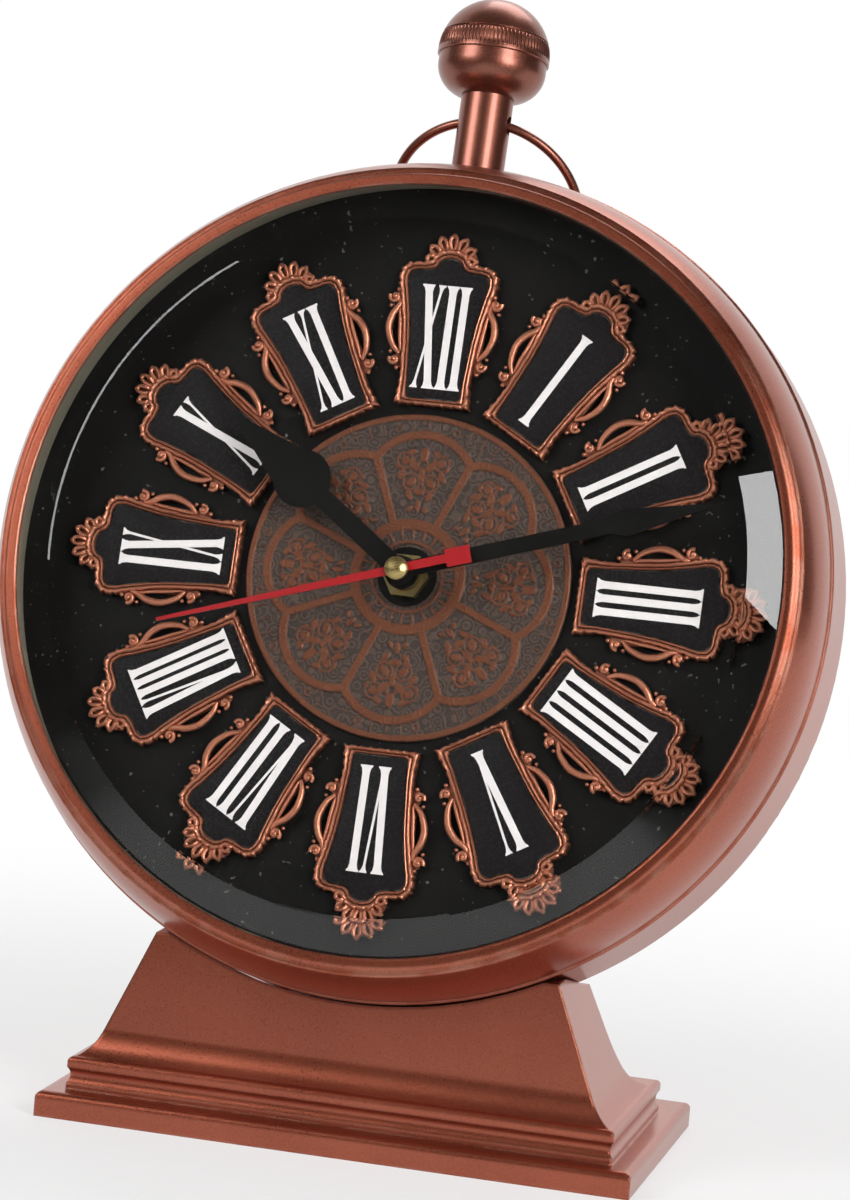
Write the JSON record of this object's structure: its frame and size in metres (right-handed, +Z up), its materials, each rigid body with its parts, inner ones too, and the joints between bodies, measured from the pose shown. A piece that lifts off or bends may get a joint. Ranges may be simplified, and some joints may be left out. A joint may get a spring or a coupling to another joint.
{
  "type": "table clock",
  "caption": "Table clock in the form of a pocket watch: round tilted case with bow and ball crown on a moulded pedestal, with cast Roman numeral frames, three hands and a battery movement.",
  "frame": {"origin": "centre of the pedestal's underside, on the table", "axes": "+Z up, +X to the viewer's right, the dial faces -Y"},
  "size_m": [0.2166, 0.1087, 0.2904],
  "materials": {
    "copper_paint": "satin metallic copper-brown paint",
    "bright_copper": "polished copper-plated casting",
    "patina": "copper with a grey patina in the hollows",
    "dial_black": "semi-matte black paint",
    "enamel_black": "gloss black with printed numerals",
    "hand_black": "satin black paint",
    "hand_red": "gloss red paint",
    "spacer": "dark olive plastic",
    "black_plastic": "moulded black plastic",
    "white_plastic": "natural white acetal",
    "battery_jacket": "plain grey shrink jacket over a steel can",
    "steel": "zinc-plated steel",
    "brass": "turned brass",
    "glass": "clear bevelled glass"
  },
  "bodies": {
    "clock": {"pedestal": "copper_paint", "saddle_screws": "steel", "saddle_nuts": "steel", "case_body": "copper_paint", "bezel_ring": "copper_paint", "bezel_screws": "steel", "crystal": "glass", "spacer_ring": "spacer", "dial_plate": "dial_black", "medallion": "patina", "numeral_frame_01": "bright_copper", "numeral_frame_02": "bright_copper", "numeral_frame_03": "bright_copper", "numeral_frame_04": "bright_copper", "numeral_frame_05": "bright_copper", "numeral_frame_06": "bright_copper", "numeral_frame_07": "bright_copper", "numeral_frame_08": "bright_copper", "numeral_frame_09": "bright_copper", "numeral_frame_10": "bright_copper", "numeral_frame_11": "bright_copper", "numeral_frame_12": "bright_copper", "numeral_plate_01": "enamel_black", "numeral_plate_02": "enamel_black", "numeral_plate_03": "enamel_black", "numeral_plate_04": "enamel_black", "numeral_plate_05": "enamel_black", "numeral_plate_06": "enamel_black", "numeral_plate_07": "enamel_black", "numeral_plate_08": "enamel_black", "numeral_plate_09": "enamel_black", "numeral_plate_10": "enamel_black", "numeral_plate_11": "enamel_black", "numeral_plate_12": "enamel_black", "movement_housing": "black_plastic", "movement_lid": "black_plastic", "threaded_bush": "brass", "mounting_washer": "brass", "mounting_nut": "brass", "battery": "battery_jacket", "battery_contacts": "steel", "rear_cover": "copper_paint", "rear_cover_screws": "steel", "neck": "copper_paint", "neck_nut": "steel", "crown_cup": "copper_paint", "crown_cap": "copper_paint"},
    "minute_train": {"minute_hand": "hand_black", "minute_arbor": "brass"},
    "hour_train": {"hour_hand": "hand_black", "hour_wheel": "white_plastic"},
    "second_train": {"second_hand": "hand_red", "second_cap": "brass", "second_arbor": "steel"},
    "setting_knob": {"setting_knob": "white_plastic"},
    "bow": {"bow_ring": "copper_paint"}
  },
  "joints": [
    {"name": "minute_turn", "type": "hinge", "parent": "clock", "child": "minute_train", "pos_m": [0, -0.00755, 0.14187], "axis": [0, -0.9703, 0.2419], "continuous": true},
    {"name": "hour_turn", "type": "hinge", "parent": "clock", "child": "hour_train", "pos_m": [0, -0.00755, 0.14187], "axis": [0, -0.9703, 0.2419], "continuous": true},
    {"name": "second_turn", "type": "hinge", "parent": "clock", "child": "second_train", "pos_m": [0, -0.00755, 0.14187], "axis": [0, -0.9703, 0.2419], "continuous": true},
    {"name": "knob_turn", "type": "hinge", "parent": "clock", "child": "setting_knob", "pos_m": [0, -0.00465, 0.15352], "axis": [0, -0.9703, 0.2419], "continuous": true},
    {"name": "bow_swing", "type": "hinge", "parent": "clock", "child": "bow", "pos_m": [0, 0.03272, 0.25793], "axis": [1, 0, 0], "range_deg": [0, 260]}
  ],
  "couplings": [
    {"joint": "hour_turn", "follows": "minute_turn", "ratio": 0.083333},
    {"joint": "knob_turn", "follows": "minute_turn", "ratio": -0.33333}
  ]
}
